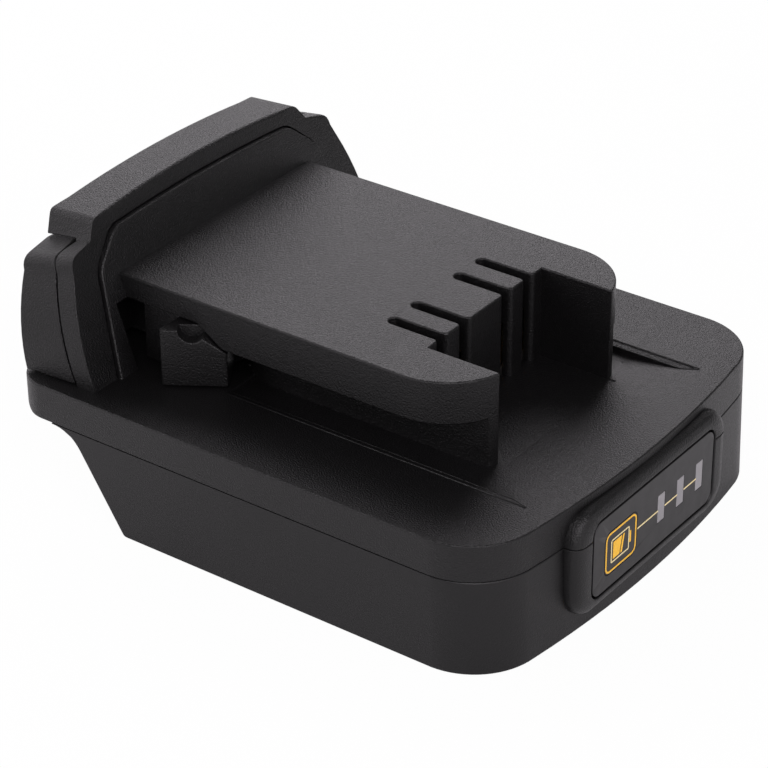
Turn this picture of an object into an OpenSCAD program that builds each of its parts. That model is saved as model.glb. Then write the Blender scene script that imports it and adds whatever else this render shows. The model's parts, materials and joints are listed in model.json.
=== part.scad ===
// Slide-on battery adapter: a tool rail tower with release latches on top, a pack receiver
// underneath and a charge gauge in the front face.
// +X points to the gauge, +Z points up, the origin is under the middle of the body.

/* [Body] */
// Width across the sides of the body
body_w = 78; // [76:0.5:84]
// Length of the deck from its rear end to the crest of its front edge
deck_l = 92.4; // [91:0.1:96]
// Height of the deck above the underside
deck_h = 22.1; // [21.5:0.1:25]
// Height of the upper shell's rim, from the seam up to the deck
rim_h = 6.2; // [5.8:0.1:6.8]
// Wall thickness of the shells
wall = 2.4; // [2:0.1:2.8]
// Thickness of the deck plate
deck_t = 3; // [2.6:0.1:3.2]
// Front corner radius in plan
front_r = 11.5; // [8:0.5:13]
// Rear corner radius in plan
rear_r = 6; // [4:0.5:9]
// How far the front face bows out over its half width
front_bow = 1.9; // [1.2:0.1:2.6]
// How far the front face leans out at the underside
front_lean = 0.65; // [0.3:0.05:1]
// Radius under the rear end of the deck slab
slab_r = 4.5; // [2:0.5:5]

/* [Rear slope] */
// Distance from the deck's rear end to the top of the sloping rear wall
slope_top = 11.6; // [11:0.1:13]
// Distance from the deck's rear end to the foot of the slope
slope_foot = 21.6; // [20:0.1:22.5]
// Length of the rounding where the slope runs out under the slab
slope_soft = 3.6; // [2.4:0.1:4.2]

/* [Tower] */
// Height of the tower above the deck
tower_h = 14.4; // [14:0.1:16]
// Width across the tool rails
tower_w = 48; // [46:0.5:50]
// Distance from the tower's nose to the deck's front edge
nose_gap = 16.7; // [15:0.1:18]
// Radius of the nose corners
nose_r = 11.5; // [10:0.5:13]
// Thickness of the tool rails
rail_t = 7.2; // [6:0.1:7.6]
// Thickness of the tool rails over the latches
rail_thin = 4.1; // [3.5:0.1:4.5]
// Width of the neck under the rails
neck_w = 34; // [33:0.2:35]
// Wall thickness of the neck
neck_t = 1.9; // [1.6:0.1:2.2]
// Roof thickness of the tower
roof_t = 2.4; // [2:0.1:3]
// Depth of the trough beside the tower
trough_d = 1.2; // [0.6:0.1:1.4]
// Half width of the trough's floor
trough_half = 23; // [22:0.1:23.4]
// Width of the chamfer along the trough's sides
trough_edge = 1.2; // [0.8:0.1:1.6]
// Length of the ramp at the trough's front end
trough_ramp = 12; // [6:1:14]
// Distance from the trough's front end to the deck's front edge
trough_gap = 6; // [3:0.5:8]

/* [Terminal comb] */
// Distance from the nose back to the front of the comb
comb_back = 13.1; // [12:0.1:14]
// Thickness of the comb under the tower's top
comb_t = 6.5; // [5:0.1:6.8]
// Thickness of the comb's front wall
comb_wall = 1.6; // [1.2:0.1:2]
// Width of a terminal slot
slot_w = 2; // [1.6:0.1:2.4]
// Length of a terminal slot
slot_l = 9.7; // [8.5:0.1:10.5]
// Distance of the inner slots from the middle
slot_in = 5.6; // [5.4:0.1:6]
// Distance of the outer slots from the middle
slot_out = 11.5; // [11.2:0.1:11.8]
// Radius of the comb's edges beside a terminal slot
mouth_r = 0.8; // [0.4:0.1:1]

/* [Head] */
// Height of the head's crown above the deck
head_h = 24.3; // [24:0.1:26]
// Distance from the body's side to the head's foot
head_in = 3.1; // [2.5:0.1:4.5]
// How far the crown rises above the arch's corners
crown_rise = 1.3; // [0.8:0.1:1.6]
// Half width of the arch at its top corners
arch_half = 25.2; // [24.8:0.1:25.8]
// Height of the wing shoulders above the deck
shoulder_h = 20.3; // [19.8:0.1:20.8]
// How much lower the wings' outer corners are than their shoulders
wing_fall = 1; // [0.6:0.1:1.3]
// Distance from the deck's rear end to the head's front rim
rim_set = 14.7; // [14.2:0.1:15.2]
// Backward lean of the front rim, per millimetre of height
head_lean = 0.35; // [0.32:0.01:0.37]
// Thickness of the wing flanges
flange_t = 3.4; // [3.1:0.1:3.7]
// How far the bulkhead stands proud of the rim
bulkhead_proud = 0.7; // [0.5:0.1:1]
// Thickness of the bulkhead
bulkhead_t = 2.3; // [2:0.1:2.5]
// Half width of the bulkhead at the deck
bulkhead_half = 30.4; // [30:0.1:30.8]
// Width of the bulkhead left outside its latch windows
window_side_w = 4.1; // [3.7:0.1:4.6]
// Distance from the deck's rear end to the head's rear face, at the deck
back_set = 1.6; // [1.2:0.1:2]
// How far the head's crown overhangs the deck's rear end
head_overhang = 2.3; // [1.5:0.1:3]
// How much lower the arch is at the rear
roof_drop = 0.6; // [0.4:0.1:1]
// How much lower the wing shoulders are at the rear
wing_drop = 1.9; // [1.4:0.1:2.1]
// How much wider each wing is at the rear
rear_flare = 1; // [0.5:0.1:1.4]
// Thickness of the head cover's roof and rear wall
cover_t = 2.2; // [1.8:0.1:2.4]

/* [Latches] */
// Travel of a latch when its button is squeezed
latch_travel = 4.6; // [4:0.1:4.8]
// How far the tongue stands out past the tool rail
tongue_out = 4.8; // [4:0.1:5]
// Length of the tongue's ramp along the body
tongue_l = 9.1; // [8:0.1:10]
// How far the ramp falls back over its length
tongue_fall = 5.8; // [5.4:0.1:6]
// Distance from the nose back to the tongue's tip
tongue_back = 45.1; // [44.5:0.1:45.5]
// Radius of the half-round notch in the tongue's top
notch_r = 2.1; // [1.5:0.1:2.4]
// Distance of the latch arm's inner face from the middle
arm_in = 14; // [13.6:0.1:14.4]
// Thickness of the latch arm inside the head
arm_t = 5; // [4:0.1:5.4]
// Mean radius of the latch spring's coil
spring_r = 2.5; // [2:0.1:2.6]
// Wire thickness of the latch spring
spring_wire = 0.7; // [0.5:0.05:0.8]
// Turns of the latch spring
spring_turns = 6; // [4:1:7]
// Thickness of the rib between the two springs
rib_t = 2.4; // [2:0.1:3]

/* [Pack receiver] */
// Thickness of the pack rails along the underside
pack_rail_t = 3; // [2.6:0.1:3.4]
// Half width of the mouth between the pack rails
mouth_half = 23.5; // [22.5:0.1:24]
// Half width of the receiver above the rails
receiver_half = 27.5; // [27:0.1:28]
// Thickness of the receiver's guide walls
guide_t = 2; // [1.6:0.1:2.2]
// Distance from the receiver's front end to the deck's front edge
receiver_gap = 26.1; // [25.5:0.1:26.5]
// Thickness of the divider plate over the receiver
divider_t = 1.2; // [1:0.1:1.4]
// Thickness of the blade block along the body
block_l = 6; // [5.6:0.1:6.2]
// Half width of the blade block
block_half = 24; // [22:0.5:26]
// Length of the terminal blades in front of the block
blade_l = 11; // [9:0.5:12]
// Height of the terminal blades
blade_h = 7; // [6:0.1:7.4]
// Thickness of the power blades
blade_t = 1; // [0.8:0.1:1.2]
// Distance of the power blades from the middle
blade_out = 14; // [13:0.5:15]
// Distance of the signal blades from the middle
blade_in = 4; // [3:0.5:5]

/* [Gauge] */
// Distance of the gauge's middle from the middle of the body
gauge_y = -0.8; // [-1.5:0.1:1.5]
// Width of the gauge panel
panel_w = 33.8; // [33:0.2:35]
// Height of the gauge panel
panel_h = 12.8; // [12.4:0.1:13]
// Height of the panel's middle above the underside
panel_z = 11.7; // [11.5:0.1:11.9]
// Thickness of the gauge panel
panel_t = 1.6; // [1.2:0.1:1.8]
// How far the panel's face lies behind the bezel's crest
panel_sink = 0.1; // [0:0.05:0.6]
// Gap between the panel and the bezel
panel_gap = 0.35; // [0.2:0.05:0.5]
// How far the bezel's crest stands in front of the deck's edge
bezel_proud = 1.6; // [1.3:0.1:2]
// Width of the bezel's foot all round the panel
bezel_w = 4.3; // [4:0.1:4.6]
// Width of the gauge button
key_w = 8.8; // [8:0.1:9]
// Height of the gauge button
key_h = 7.4; // [7:0.1:7.8]
// Distance of the button's middle from the panel's middle
key_y = 9.4; // [9.2:0.1:9.7]
// Travel of the gauge button
key_travel = 0.4; // [0.2:0.05:0.5]
// Width of a light bar
bar_w = 1.9; // [1.5:0.1:2.1]
// Height of a light bar
bar_h = 4.8; // [4:0.1:5.2]
// Distance between neighbouring light bars
bar_pitch = 5.5; // [5:0.1:5.6]
// Distance of the first light bar from the panel's middle
bar_y = 1.9; // [1.5:0.1:2]
// Distance from the gauge board's front to the deck's front edge
board_gap = 8.2; // [7.9:0.1:8.5]
// Thickness of the gauge board
board_t = 1.6; // [1.2:0.1:1.8]

/* [Fasteners] */
// Radius of the case screws' threads
case_screw_r = 1.2; // [1:0.05:1.4]
// Radius of the case screws' heads
case_head_r = 2.4; // [2.1:0.1:2.5]
// Depth of the case screws' head recesses
case_recess = 7; // [5:0.5:8]
// Radius of the small screws' threads
small_screw_r = 1; // [0.8:0.05:1.1]
// Radius of the small screws' heads
small_head_r = 1.9; // [1.7:0.1:2]

/* [Clearances] */
// Gap round sliding pieces
slide_gap = 0.3; // [0.2:0.05:0.4]
// Gap round pieces that are set in place
fit_gap = 0.15; // [0.1:0.05:0.2]
// Gap round pins, plungers and screw threads
pin_gap = 0.05; // [0.03:0.01:0.1]

/* [Hidden] */
$fn = 64;

// Overlap that makes cuts run clear through a face
cut = 1;
// Main places along the body
overall_l = deck_l + head_overhang + bezel_proud;
deck_front = overall_l / 2 - bezel_proud;
deck_rear = deck_front - deck_l;
nose_x = deck_front - nose_gap;
comb_x = nose_x - comb_back;
tip_x = nose_x - tongue_back;
slope_top_x = deck_rear + slope_top;
slope_foot_x = deck_rear + slope_foot;
receiver_x = deck_front - receiver_gap;
// Main heights
seam_h = deck_h - rim_h;
ceiling_h = deck_h - deck_t;
trough_h = deck_h - trough_d;
tower_top = deck_h + tower_h;
rail_h = tower_top - rail_t;
thin_h = tower_top - rail_thin;
comb_h = tower_top - comb_t;
pocket_half = neck_w / 2 - neck_t;
head_half = body_w / 2 - head_in;

// Planes of the head: each gives the plane's place along the body at a height above the deck
function rim_x(h) = deck_rear + rim_set - head_lean * h;
function flange_back_x(h) = rim_x(h) - flange_t;
function bulkhead_x(h) = rim_x(h) + bulkhead_proud;
function bulkhead_back_x(h) = bulkhead_x(h) - bulkhead_t;
back_lean = (back_set + head_overhang) / (head_h - roof_drop);
function back_x(h) = deck_rear + back_set - back_lean * h;
function back_inner_x(h) = back_x(h) + cover_t;

// Points of an arc from one angle to another
function arc(centre, r, from, to, steps = 8) =
    [for (i = [0 : steps]) let (a = from + (to - from) * i / steps)
        centre + r * [cos(a), sin(a)]];
// Points of a curve that starts and ends like the lines through its middle control point
function bend(a, b, c, steps = 8) =
    [for (i = [0 : steps]) let (t = i / steps)
        (1 - t) * (1 - t) * a + 2 * t * (1 - t) * b + t * t * c];
// Points that round off the corner at b by the length l along both sides
function soft(a, b, c, l, steps = 5) =
    bend(b + l * (a - b) / norm(a - b), b, b + l * (c - b) / norm(c - b), steps);
// The outline whose right half runs from the foot up to the crown
function both_sides(half) =
    concat(half, [for (i = [len(half) - 2 : -1 : 0]) [-half[i][0], half[i][1]]]);

// A flat outline in Y and Z, drawn out along the body
module along_x(x0, x1) {
    translate([x0, 0, 0]) rotate([90, 0, 90]) linear_extrude(x1 - x0) children();
}
// A flat outline in X and Z, drawn out across the body
module along_y(y0, y1) {
    translate([0, y1, 0]) rotate([90, 0, 0]) linear_extrude(y1 - y0) children();
}
// A box from one corner to the other
module box(low, high) {
    translate(low) cube(high - low);
}
// Both sides of the body
module both() {
    children();
    mirror([0, 1, 0]) children();
}
// A rectangle with round corners, round its middle
module round_rect(w, h, r) {
    square([w - 2 * r, h], center = true);
    square([w, h - 2 * r], center = true);
    for (sx = [-1, 1], sy = [-1, 1])
        translate([sx * (w / 2 - r), sy * (h / 2 - r)]) circle(r);
}
// A plan with round corners at its rear end
module rear_plan(x0, x1, w, r) {
    translate([x0 + r, -w / 2]) square([x1 - x0 - r, w]);
    translate([x0, -w / 2 + r]) square([x1 - x0, w - 2 * r]);
    for (s = [-1, 1]) translate([x0 + r, s * (w / 2 - r)]) circle(r);
}
// A plan with round corners at its front end
module nose_plan(x0, x1, w, r) {
    translate([x0, -w / 2]) square([x1 - x0 - r, w]);
    translate([x0, -w / 2 + r]) square([x1 - x0, w - 2 * r]);
    for (s = [-1, 1]) translate([x1 - r, s * (w / 2 - r)]) circle(r);
}
// A screw standing on its head, thread upwards. The cross recess has its half length and half
// width as shares of the head's radius, and its depth as a share of the head's height.
cross_l = 0.6;
cross_w = 0.12;
cross_d = 0.55;
case_head_h = 1.8;
small_head_h = 1.1;
module screw(r, head_r, head_h, length) {
    difference() {
        union() {
            translate([0, 0, -head_h]) cylinder(r = head_r, h = head_h);
            cylinder(r = r, h = length);
        }
        for (a = [0, 90])
            rotate(a) translate([-head_r * cross_l, -head_r * cross_w, -head_h - cut])
                cube([2 * head_r * cross_l, 2 * head_r * cross_w, cut + head_h * cross_d]);
    }
}

// Body forms: the front end leans out, and its bowed face runs smoothly into round corners,
// which reach a hair past the upright sides so that the two meet cleanly
bow_half = body_w / 2 - front_r;
bow_r = bow_half * bow_half / (2 * front_bow);
bow_x = deck_front - bow_r;
lean_angle = atan(front_lean / deck_h);
corner_over = 0.01;
module front_form(inset) {
    face_r = bow_r - inset;
    corner_r = front_r - inset + corner_over;
    corner_y = body_w / 2 - front_r;
    corner_x = bow_x + sqrt(pow(bow_r - front_r, 2) - corner_y * corner_y);
    face_half = corner_y + corner_r * corner_y / (bow_r - front_r);
    side = body_w / 2 + cut;
    long = 3 * deck_h;
    translate([0, 0, deck_h]) rotate([0, -lean_angle, 0]) translate([0, 0, -2 * deck_h]) {
        box([-overall_l, -side, 0], [corner_x, side, long]);
        intersection() {
            translate([bow_x, 0, 0]) cylinder(r = face_r, h = long, $fn = 512);
            box([0, -face_half, 0], [overall_l, face_half, long]);
        }
        for (s = [-1, 1])
            translate([corner_x, s * corner_y, 0]) cylinder(r = corner_r, h = long);
    }
}
module body_block(z0, z1, inset = 0) {
    intersection() {
        translate([0, 0, z0]) linear_extrude(z1 - z0)
            rear_plan(deck_rear + inset, overall_l, body_w - 2 * inset, rear_r - inset);
        front_form(inset);
    }
}
// Side view of the deck slab, rounded under its rear end
module slab_side() {
    polygon(concat([[overall_l, seam_h], [overall_l, deck_h],
                    [deck_rear, deck_h]],
                   arc([deck_rear + slab_r, seam_h + slab_r], slab_r, 180, 270)));
}
// Side view of the skirt, with its sloping rear
skirt_lip = 0.15;
foot_soft = 0.6;
module skirt_side(shift = 0) {
    top = [slope_top_x, seam_h - skirt_lip];
    foot = [slope_foot_x, 0];
    translate([shift, 0])
        polygon(concat([[slope_top_x - slope_soft, seam_h + cut + skirt_lip]],
                       soft([deck_rear, seam_h - skirt_lip], top, foot, slope_soft, 8),
                       soft(top, foot, [deck_front, 0], foot_soft),
                       [[overall_l, 0],
                        [overall_l, seam_h + cut + skirt_lip]]));
}
// The raised frame round the gauge panel
bezel_r = 5;
bezel_steps = [[0, 0], [0.55, 0.4], [0.88, 1.2], [1, 2.3]];
bezel_foot = 2.4;
// Share of the bezel's foot that lies above and below the panel, and its least rise
bezel_share = 0.6;
bezel_rise = 0.1;
module bezel(z0, z1) {
    intersection() {
        box([0, -body_w / 2, z0], [overall_l, body_w / 2, z1]);
        hull() for (step = bezel_steps, sy = [-1, 1], sz = [-1, 1])
            translate([deck_front - bezel_foot,
                       gauge_y + sy * (panel_w / 2 + bezel_w - bezel_r),
                       panel_z + sz * (panel_h / 2 + bezel_w * bezel_share - bezel_r)])
                rotate([0, 90, 0])
                    cylinder(r = bezel_r - step[1],
                             h = bezel_foot + bezel_rise + (bezel_proud - bezel_rise) * step[0],
                             $fn = 32);
    }
}
// The recess that the gauge panel sits in, and the window behind it
panel_r = 1.8;
panel_x = overall_l / 2 - panel_sink;
ledge = 0.9;
module panel_recess() {
    translate([0, gauge_y, panel_z]) {
        along_x(panel_x - panel_t, overall_l)
            round_rect(panel_w + 2 * panel_gap, panel_h + 2 * panel_gap,
                       panel_r + panel_gap);
        along_x(deck_front - 2 * wall - cut, panel_x)
            round_rect(panel_w - 2 * ledge, panel_h - 2 * ledge, panel_r);
    }
}

// Places of the case screws
boss_r = 3.4;
boss_sink = 0.6;
boss_step = 0.2;
bite_over = 0.6;
bore_over = 0.4;
screw_bite = deck_t + bite_over;
screw_y = body_w / 2 - wall - boss_r + boss_sink;
screw_set = [5, 16];
screw_rear = slope_foot_x + screw_set[0];
screw_front = deck_front - screw_set[1];
screw_places = [for (x = [screw_rear, screw_front], s = [-1, 1]) [x, s * screw_y]];

// Head outlines: right halves from the foot to the crown, heights above the deck
wing_in = 3.6;
wing_bulge = 0.3;
bulge_at = 0.45;
shoulder_out = 1.8;
shoulder_y = arch_half + shoulder_out;
head_soft = 2;
arch_soft = 0.9;
crown_in = 4;
crown_steps = 8;
function crown_h(y, half, low, high) = low + (high - low) * (1 - pow(y / half, 2));
function crown_points(half, low, high, past) =
    [for (i = [1 : crown_steps]) let (y = (half - past) * (1 - i / crown_steps))
        [y, crown_h(y, half, low, high)]];
function head_points(half, wing_h, arch_h, crown) = let (
    wing = [half - wing_in, wing_h - wing_fall],
    shoulder = [shoulder_y, wing_h],
    corner = [arch_half, arch_h],
    inner = [arch_half - crown_in, crown_h(arch_half - crown_in, arch_half, arch_h, crown)])
    both_sides(concat(
        bend([half, 0], [half + wing_bulge, wing_h * bulge_at], wing - [0, head_soft]),
        [for (i = [1 : 5]) soft(wing - [0, 2 * head_soft], wing, shoulder, head_soft)[i]],
        [shoulder],
        soft(shoulder, corner, inner, arch_soft),
        crown_points(arch_half, arch_h, crown, arch_soft)));
arch_h = head_h - crown_rise;
front_points = head_points(head_half, shoulder_h, arch_h, head_h);
rear_points = head_points(head_half + rear_flare, shoulder_h - wing_drop, arch_h - roof_drop,
                          head_h - roof_drop);
// An outline set in the front rim's plane, or in the rear plane
function on_rim(points, past = 0) = [for (p = points) [rim_x(p[1]) + past, p[0], deck_h + p[1]]];
function on_back(points, past = 0) = [for (p = points) [back_x(p[1]) - past, p[0], deck_h + p[1]]];
// A form that runs from one ring of points to another
module loft(front, rear) {
    n = len(front);
    polyhedron(concat(front, rear),
               concat([[for (i = [n - 1 : -1 : 0]) i], [for (i = [0 : n - 1]) n + i]],
                      [for (i = [0 : n - 1]) let (j = (i + 1) % n)
                          each [[i, j, n + j], [i, n + j, n + i]]]), convexity = 6);
}
module head_form() loft(on_rim(front_points), on_back(rear_points));
// Outline of the bulkhead: straight sides that lean in, a slanting shoulder and a crown
bulk_in = 3;
bulk_drop = 4.3;
bulk_corner_in = 3.2;
bulk_corner_drop = 2.3;
bulk_crown_drop = 2.95;
bulk_soft = 1.5;
function bulk_half(grow) = let (
    foot = [bulkhead_half + grow, 0],
    side = [bulkhead_half - bulk_in + grow, shoulder_h - bulk_drop],
    corner = [arch_half - bulk_corner_in + grow, arch_h - bulk_corner_drop + grow],
    crown = head_h - bulk_crown_drop + grow,
    inner = [corner[0] - crown_in, crown_h(corner[0] - crown_in, corner[0], corner[1], crown)])
    concat([foot], soft(foot, side, corner, bulk_soft), soft(side, corner, inner, bulk_soft),
           crown_points(corner[0], corner[1], crown, bulk_soft));
module bulkhead_outline(grow = 0) {
    translate([0, deck_h]) polygon(both_sides(bulk_half(grow)));
}
// The room inside the head cover, open at the sides for the buttons
function room_points(h, crown) =
    [[body_w / 2, -cut], [body_w / 2, h], [arch_half - cover_t, h], [0, crown],
     [-arch_half + cover_t, h], [-body_w / 2, h], [-body_w / 2, -cut]];
room_gap = 0.2;
room_h = shoulder_h + room_gap;
module head_room()
    loft(on_rim(room_points(room_h, head_h - cover_t), cut),
         on_back(room_points(room_h - wing_drop, head_h - roof_drop - cover_t), cut));
// Side view between two planes of the head
module head_side(front_low, front_high, back_low, back_high, h) {
    polygon([[front_low, deck_h], [front_high, deck_h + h],
             [back_high, deck_h + h], [back_low, deck_h]]);
}
tall = head_h + cut;

// Places of the head screws and the latch springs
head_screw_y = 12;
head_screw_h = 15.5;
head_seat_t = 0.9;
head_screw_seat = back_inner_x(head_screw_h) - head_seat_t;
head_boss_r = 2.4;
head_boss_root = 0.5;
head_boss_gap = 0.7;
head_bore_in = 1;
head_bore_x = bulkhead_back_x(head_screw_h) - head_bore_in;
head_screw_l = head_bore_x - slide_gap - head_screw_seat;
spring_set = 4.2;
spring_x = back_inner_x(0) + spring_set;
spring_h = 6;
rib_h = 10;
arm_rise = [1.5, 9.2];
arm_low = deck_h + arm_rise[0];
arm_high = deck_h + arm_rise[1];

// Latch windows: the side view of the room that each latch slides in
window_set = 0.5;
window_x = tip_x - window_set;
chamfer_l = 4.6;
module window_side() {
    polygon([[bulkhead_x(0) - cut, deck_h], [window_x, deck_h], [window_x, rail_h],
             [window_x + slide_gap, rail_h], [window_x - chamfer_l, thin_h],
             [bulkhead_x(thin_h - deck_h) - cut, thin_h]]);
}
window_in = arm_in - latch_travel - slide_gap;
window_out = bulkhead_half - window_side_w;

module tower_form() {
    intersection() {
        union() {
            translate([0, 0, rail_h]) linear_extrude(rail_t)
                nose_plan(deck_rear, nose_x, tower_w, nose_r);
            intersection() {
                translate([0, 0, ceiling_h]) linear_extrude(tower_top - ceiling_h)
                    nose_plan(deck_rear, nose_x, tower_w, nose_r);
                box([deck_rear, -neck_w / 2, ceiling_h], [nose_x + cut, neck_w / 2, tower_top]);
            }
        }
        along_y(-body_w, body_w)
            polygon([[bulkhead_x(-rim_h) - bulkhead_t / 2, deck_h - rim_h],
                     [bulkhead_x(tower_h) - bulkhead_t / 2, tower_top],
                     [nose_x + cut, tower_top], [nose_x + cut, deck_h - rim_h]]);
    }
}
// The shallow trough round the tower: chamfered along its sides, with a ramp at its front end
edge_d = 0.3;
trough_end = deck_front - trough_gap;
module trough() {
    intersection() {
        along_x(window_x + cut, deck_front)
            polygon([[-trough_half - trough_edge, deck_h + cut], [-trough_half - trough_edge, deck_h],
                     [-trough_half, deck_h - edge_d], [-trough_half, trough_h],
                     [trough_half, trough_h], [trough_half, deck_h - edge_d],
                     [trough_half + trough_edge, deck_h], [trough_half + trough_edge, deck_h + cut]]);
        along_y(-body_w, body_w)
            polygon([[window_x, trough_h - cut], [window_x, deck_h + cut],
                     [trough_end + trough_ramp / trough_d * cut, deck_h + cut],
                     [trough_end - trough_ramp, trough_h],
                     [trough_end - trough_ramp, trough_h - cut]]);
    }
}
// Rear end of the hollow under the tower and the deck
hollow_x = slope_top_x + wall;
hollow_set = 0.6;
tower_hollow_x = bulkhead_x(0) + hollow_set;
comb_rear = comb_x - slot_l - slot_w;
slot_mouth = concat([[-mouth_r, 0]], arc([-mouth_r, slot_w / 2 + mouth_r], mouth_r, -90, 0),
                    [[cut, slot_w / 2 + mouth_r], [cut, 0]]);
module terminal_slots() {
    for (y = [-slot_out, -slot_in, slot_in, slot_out])
        translate([comb_x, y, trough_h]) linear_extrude(tower_h + trough_d + cut) {
            translate([-slot_l + slot_w / 2, -slot_w / 2]) square([slot_l + cut, slot_w]);
            translate([-slot_l + slot_w / 2, 0]) circle(slot_w / 2);
            for (side = [0, 1]) mirror([0, side]) polygon(slot_mouth);
        }
}
carrier_boss_set = 5.2;
carrier_boss_x = comb_x - comb_wall - carrier_boss_set;
carrier_boss_r = 2.5;
carrier_bore_end = 1;
carrier_screw_end = 2;

// Clip carrier and tool clips
carrier_drop = 0.1;
carrier_top = deck_h - carrier_drop;
carrier_t = 4;
clip_l = 6;
clip_gap = 0.6;
clip_x = comb_x - comb_wall - clip_gap - clip_l;
clip_t = 0.4;
clip_half = 2.2;
clip_h = comb_h - carrier_top - clip_gap;
tail_t = 0.6;
tail_l = 2;
tail_out = 2;
tail_low = carrier_top - carrier_t - tail_out;

module upper_shell() color("#2b2a2c") {
    difference() {
        union() {
            difference() {
                intersection() {
                    body_block(seam_h, deck_h);
                    along_y(-body_w, body_w) slab_side();
                }
                trough();
            }
            bezel(seam_h, deck_h);
            difference() {
                tower_form();
                both() along_y(pocket_half - cut, body_w / 2) window_side();
            }
            intersection() {
                along_x(deck_rear - cut, deck_front) bulkhead_outline();
                along_y(-body_w, body_w)
                    head_side(bulkhead_x(0), bulkhead_x(tall), bulkhead_back_x(0),
                              bulkhead_back_x(tall), tall);
            }
        }
        intersection() {
            body_block(seam_h - cut, ceiling_h, wall);
            box([hollow_x, -body_w, 0], [deck_front, body_w, tower_top]);
        }
        box([tower_hollow_x, -pocket_half, seam_h], [comb_rear, pocket_half, tower_top - roof_t]);
        box([comb_rear - cut, -pocket_half, seam_h], [comb_x - comb_wall, pocket_half, comb_h]);
        both() box([deck_rear + back_set, window_in, deck_h],
                   [tower_hollow_x + cut, window_out, thin_h]);
        box([comb_x, -pocket_half, trough_h], [nose_x + cut, pocket_half, tower_top + cut]);
        terminal_slots();
        panel_recess();
        for (p = screw_places)
            translate([p[0], p[1], seam_h]) cylinder(r = case_screw_r + pin_gap, h = screw_bite + bore_over);
    }
    for (p = screw_places)
        translate([p[0], p[1], seam_h]) difference() {
            cylinder(r = boss_r - boss_step, h = ceiling_h - seam_h);
            translate([0, 0, -cut]) cylinder(r = case_screw_r + pin_gap, h = rim_h + cut);
        }
    for (s = [-1, 1])
        translate([0, s * head_screw_y, deck_h + head_screw_h]) rotate([0, -90, 0]) difference() {
            translate([0, 0, -bulkhead_back_x(head_screw_h) - head_boss_root])
                cylinder(r = head_boss_r, h = bulkhead_back_x(head_screw_h) + head_boss_root
                                              - back_inner_x(head_screw_h) - head_boss_gap);
            translate([0, 0, -head_bore_x])
                cylinder(r = small_screw_r + pin_gap, h = rim_set);
        }
    along_y(-rib_t / 2, rib_t / 2)
        head_side(bulkhead_back_x(0), bulkhead_back_x(rib_h), back_inner_x(0) + slide_gap,
                  back_inner_x(0) + slide_gap, rib_h);
    translate([carrier_boss_x, 0, carrier_top]) difference() {
        cylinder(r = carrier_boss_r, h = comb_h - carrier_top);
        translate([0, 0, -cut]) cylinder(r = small_screw_r + pin_gap, h = clip_h - carrier_bore_end + cut);
    }
}

// Lower shell
rear_share = 1.2;
rear_wall = wall * rear_share;
guide_top = seam_h - slide_gap - divider_t;
stake_r = 1;
stake_out = 0.2;
stake_set = 8;
stake_places = [for (x = [slope_foot_x + stake_set, receiver_x - stake_set], s = [-1, 1])
    [x, s * (receiver_half + guide_t / 2)]];
bay_x = receiver_x + block_l + fit_gap;
board_front = deck_front - board_gap;
led_w = 2;
led_h = 3;
led_t = 1.6;
board_edge = 1.9;
board_half = bar_y + 2 * bar_pitch + led_w / 2 + board_edge;
post_w = 3;
post_l = 5;
post_in = 1;
module lower_shell() color("#29282a") {
    difference() {
        union() {
            difference() {
                intersection() {
                    body_block(0, seam_h);
                    along_y(-body_w, body_w) skirt_side();
                }
                intersection() {
                    body_block(pack_rail_t, seam_h + cut, wall);
                    along_y(-body_w, body_w) skirt_side(rear_wall);
                }
            }
            bezel(0, seam_h);
            intersection() {
                both() box([deck_rear, receiver_half, 0],
                           [bay_x + guide_t, receiver_half + guide_t, guide_top]);
                along_y(-body_w, body_w) skirt_side(cut / 2);
            }
            box([bay_x, -receiver_half - guide_t, 0],
                [bay_x + guide_t, receiver_half + guide_t, guide_top]);
            for (p = screw_places) translate([p[0], p[1], 0]) cylinder(r = boss_r, h = seam_h);
            for (p = stake_places)
                translate([p[0], p[1], guide_top - cut])
                    cylinder(r = stake_r, h = divider_t + stake_out + cut);
            translate([board_front - board_t / 2, gauge_y, 0])
                both() box([-post_l / 2, board_half - post_in, 0],
                           [post_l / 2, board_half - post_in + post_w, guide_top]);
        }
        box([deck_rear, -mouth_half, -cut], [receiver_x, mouth_half, pack_rail_t + cut]);
        box([deck_rear, -receiver_half, pack_rail_t], [receiver_x, receiver_half, seam_h + cut]);
        box([board_front - board_t - fit_gap, gauge_y - board_half - fit_gap, pack_rail_t],
            [board_front + fit_gap, gauge_y + board_half + fit_gap, seam_h]);
        panel_recess();
        for (p = screw_places) translate([p[0], p[1], -cut]) {
            cylinder(r = case_head_r + fit_gap, h = case_recess + cut);
            cylinder(r = case_screw_r + fit_gap, h = seam_h + 2 * cut);
        }
    }
}

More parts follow.
